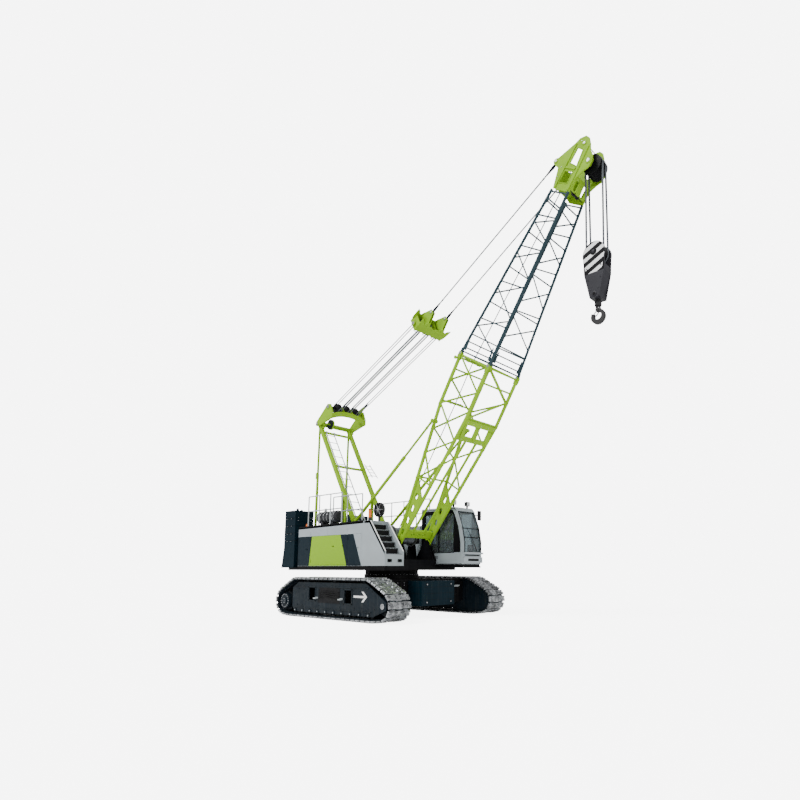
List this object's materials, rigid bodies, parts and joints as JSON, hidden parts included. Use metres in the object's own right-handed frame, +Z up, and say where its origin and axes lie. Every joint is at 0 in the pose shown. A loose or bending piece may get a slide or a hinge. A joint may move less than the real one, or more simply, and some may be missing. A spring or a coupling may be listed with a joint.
{
  "type": "crawler crane",
  "caption": "Lattice boom crawler crane: tracked base, slewing deck with cab and houses, luffing boom held by pendants, hook block on hoist ropes.",
  "frame": {"origin": "on the ground under the centre of the slew ring", "axes": "+X forward towards the boom side, +Y to the crane's left (cab side), +Z up"},
  "size_m": [13.1094, 5.305, 13.6837],
  "materials": {
    "bare_steel": "machined steel",
    "black_paint": "satin black enamel",
    "block_paint": "dark grey enamel with pale slanted stripes",
    "cab_glass": "tinted safety glass",
    "engine_paint": "dark grey engine enamel",
    "frame_paint": "satin dark grey enamel",
    "grey_paint": "satin light grey enamel",
    "hook_iron": "forged iron",
    "lime_paint": "satin lime green enamel",
    "rail_paint": "satin pale grey enamel",
    "rope_steel": "stranded steel wire rope",
    "seat_fabric": "black woven seat cloth",
    "sheave_nylon": "black cast nylon",
    "shoe_steel": "worn cast steel shoes",
    "slate_paint": "satin dark slate enamel",
    "teal_paint": "satin dark teal enamel"
  },
  "bodies": {
    "undercarriage": {"carbody": "black_paint", "carbody_weight_front": "teal_paint", "carbody_weight_rear": "teal_paint", "slew_ring": "bare_steel", "track_frame_left": "frame_paint", "track_frame_right": "frame_paint", "track_left": "shoe_steel", "track_right": "shoe_steel", "final_drives": "frame_paint"},
    "upper": {"deck": "black_paint", "house_right": "grey_paint", "house_left": "grey_paint", "house_nose": "grey_paint", "engine": "engine_paint", "counterweight_left": "teal_paint", "counterweight_right": "teal_paint", "counterweight_base": "teal_paint", "cab_shell": "grey_paint", "cab_glass": "cab_glass", "seat": "seat_fabric", "gantry_legs": "lime_paint", "gantry_struts": "lime_paint", "gantry_stays": "lime_paint", "gantry_head": "lime_paint", "handrails": "rail_paint", "roof_fittings": "engine_paint"},
    "boom": {"boom_base_left": "lime_paint", "boom_base_right": "lime_paint", "boom_base_lacing": "lime_paint", "boom_portal": "lime_paint", "boom_tip_left": "slate_paint", "boom_tip_right": "slate_paint", "boom_tip_lacing": "slate_paint", "boom_head": "lime_paint"},
    "head_sheaves": {"head_sheaves": "sheave_nylon"},
    "pendants": {"pendants": "rope_steel"},
    "bridle": {"bridle": "lime_paint", "bridle_falls": "rope_steel"},
    "bridle_sheaves": {"bridle_sheaves": "sheave_nylon"},
    "gantry_falls": {"gantry_falls": "rope_steel"},
    "gantry_sheaves": {"gantry_sheaves": "sheave_nylon"},
    "backstop_tubes": {"backstop_tubes": "lime_paint"},
    "backstop_rods": {"backstop_rods": "bare_steel"},
    "hoist_line": {"hoist_falls": "rope_steel"},
    "hook_block": {"block_cheeks": "block_paint", "block_falls": "rope_steel"},
    "block_sheaves": {"block_sheaves": "sheave_nylon"},
    "hook": {"hook": "hook_iron"},
    "sprocket_left": {"sprocket_left": "frame_paint"},
    "idler_left": {"idler_left": "frame_paint"},
    "sprocket_right": {"sprocket_right": "frame_paint"},
    "idler_right": {"idler_right": "frame_paint"},
    "drum_main": {"drum_main": "bare_steel"},
    "drum_aux": {"drum_aux": "bare_steel"},
    "drum_luffing": {"drum_luffing": "bare_steel"},
    "door_rear_right": {"door_rear_right": "teal_paint"},
    "door_middle_right": {"door_middle_right": "lime_paint"},
    "door_front_right": {"door_front_right": "teal_paint"},
    "door_middle_left": {"door_middle_left": "lime_paint"},
    "cab_door": {"cab_door": "grey_paint"}
  },
  "joints": [
    {"name": "sprocket_left", "type": "hinge", "parent": "undercarriage", "child": "sprocket_left", "pos_m": [-2.57, 2.2325, 0.5], "axis": [0, 1, 0], "continuous": true},
    {"name": "idler_left", "type": "hinge", "parent": "undercarriage", "child": "idler_left", "pos_m": [2.57, 2.2325, 0.5], "axis": [0, 1, 0], "continuous": true},
    {"name": "sprocket_right", "type": "hinge", "parent": "undercarriage", "child": "sprocket_right", "pos_m": [-2.57, -2.2325, 0.5], "axis": [0, 1, 0], "continuous": true},
    {"name": "idler_right", "type": "hinge", "parent": "undercarriage", "child": "idler_right", "pos_m": [2.57, -2.2325, 0.5], "axis": [0, 1, 0], "continuous": true},
    {"name": "slew", "type": "hinge", "parent": "undercarriage", "child": "upper", "pos_m": [0, 0, 1.45], "axis": [0, 0, 1], "continuous": true},
    {"name": "boom_luff", "type": "hinge", "parent": "upper", "child": "boom", "pos_m": [1.084, 0, 2.466], "axis": [0, -1, 0], "range_deg": [-28.43, 21.57]},
    {"name": "pendant_pin", "type": "hinge", "parent": "boom", "child": "pendants", "pos_m": [7.31034, 0, 13.38179], "axis": [0, -1, 0], "range_deg": [-3.36, 2.79]},
    {"name": "bridle_pin", "type": "hinge", "parent": "pendants", "child": "bridle", "pos_m": [2.19, 0, 10.31], "axis": [0, -1, 0], "range_deg": [-10.71, 13.79]},
    {"name": "boom_falls", "type": "slide", "parent": "bridle", "child": "gantry_falls", "axis": [0.9063, 0, 0.4226], "range_m": [-3.2354, 2.462]},
    {"name": "backstop_pivot", "type": "hinge", "parent": "upper", "child": "backstop_tubes", "pos_m": [-1.1, 0, 3.22], "axis": [0, -1, 0], "range_deg": [-21.87, 16.83]},
    {"name": "backstop_rod", "type": "slide", "parent": "backstop_tubes", "child": "backstop_rods", "axis": [0.7831, 0, 0.6218], "range_m": [-0.7261, 0.9475]},
    {"name": "hoist_plumb", "type": "hinge", "parent": "boom", "child": "hoist_line", "pos_m": [8.36344, 0, 12.89899], "axis": [0, -1, 0], "range_deg": [-22.57, 29.43]},
    {"name": "hook_hoist", "type": "slide", "parent": "hoist_line", "child": "hook_block", "axis": [0, 0, 1], "range_m": [-8.2, 0.9]},
    {"name": "hook_swivel", "type": "hinge", "parent": "hook_block", "child": "hook", "pos_m": [8.36344, 0, 9], "axis": [0, 0, 1], "continuous": true},
    {"name": "head_sheaves", "type": "hinge", "parent": "boom", "child": "head_sheaves", "pos_m": [8.36344, 0, 12.89899], "axis": [0, 1, 0], "continuous": true},
    {"name": "block_sheaves", "type": "hinge", "parent": "hook_block", "child": "block_sheaves", "pos_m": [8.36344, 0, 10.3], "axis": [0, 1, 0], "continuous": true},
    {"name": "gantry_sheaves", "type": "hinge", "parent": "upper", "child": "gantry_sheaves", "pos_m": [-2.99, 0, 7.86], "axis": [0, 1, 0], "continuous": true},
    {"name": "bridle_sheaves", "type": "hinge", "parent": "bridle", "child": "bridle_sheaves", "pos_m": [1.6, 0, 10], "axis": [0, 1, 0], "continuous": true},
    {"name": "drum_main", "type": "hinge", "parent": "upper", "child": "drum_main", "pos_m": [0.43, 0, 2.74], "axis": [0, 1, 0], "continuous": true},
    {"name": "drum_aux", "type": "hinge", "parent": "upper", "child": "drum_aux", "pos_m": [-0.48, 0, 2.56], "axis": [0, 1, 0], "continuous": true},
    {"name": "drum_luffing", "type": "hinge", "parent": "upper", "child": "drum_luffing", "pos_m": [-1.9, 0, 2.4], "axis": [0, 1, 0], "continuous": true},
    {"name": "door_rear_right", "type": "hinge", "parent": "upper", "child": "door_rear_right", "pos_m": [-3.15, -1.7295, 2.2], "axis": [0, 0, -1], "range_deg": [0, 100]},
    {"name": "door_middle_right", "type": "hinge", "parent": "upper", "child": "door_middle_right", "pos_m": [-2.42, -1.7295, 2.2], "axis": [0, 0, -1], "range_deg": [0, 100]},
    {"name": "door_front_right", "type": "hinge", "parent": "upper", "child": "door_front_right", "pos_m": [0.46, -1.7295, 2.2], "axis": [0, 0, 1], "range_deg": [0, 100]},
    {"name": "door_middle_left", "type": "hinge", "parent": "upper", "child": "door_middle_left", "pos_m": [-2.42, 1.7295, 2.2], "axis": [0, 0, 1], "range_deg": [0, 100]},
    {"name": "cab_door", "type": "hinge", "parent": "upper", "child": "cab_door", "pos_m": [1.33, 1.7295, 2.7], "axis": [0, 0, 1], "range_deg": [0, 100]}
  ],
  "couplings": [
    {"joint": "pendant_pin", "follows": "boom_luff", "ratio": 0.083},
    {"joint": "bridle_pin", "follows": "boom_luff", "ratio": -0.45},
    {"joint": "boom_falls", "follows": "boom_luff", "m_per_rad": 6.46},
    {"joint": "backstop_pivot", "follows": "boom_luff", "ratio": 0.734},
    {"joint": "backstop_rod", "follows": "boom_luff", "m_per_rad": -1.849},
    {"joint": "hoist_plumb", "follows": "boom_luff", "ratio": -1}
  ]
}
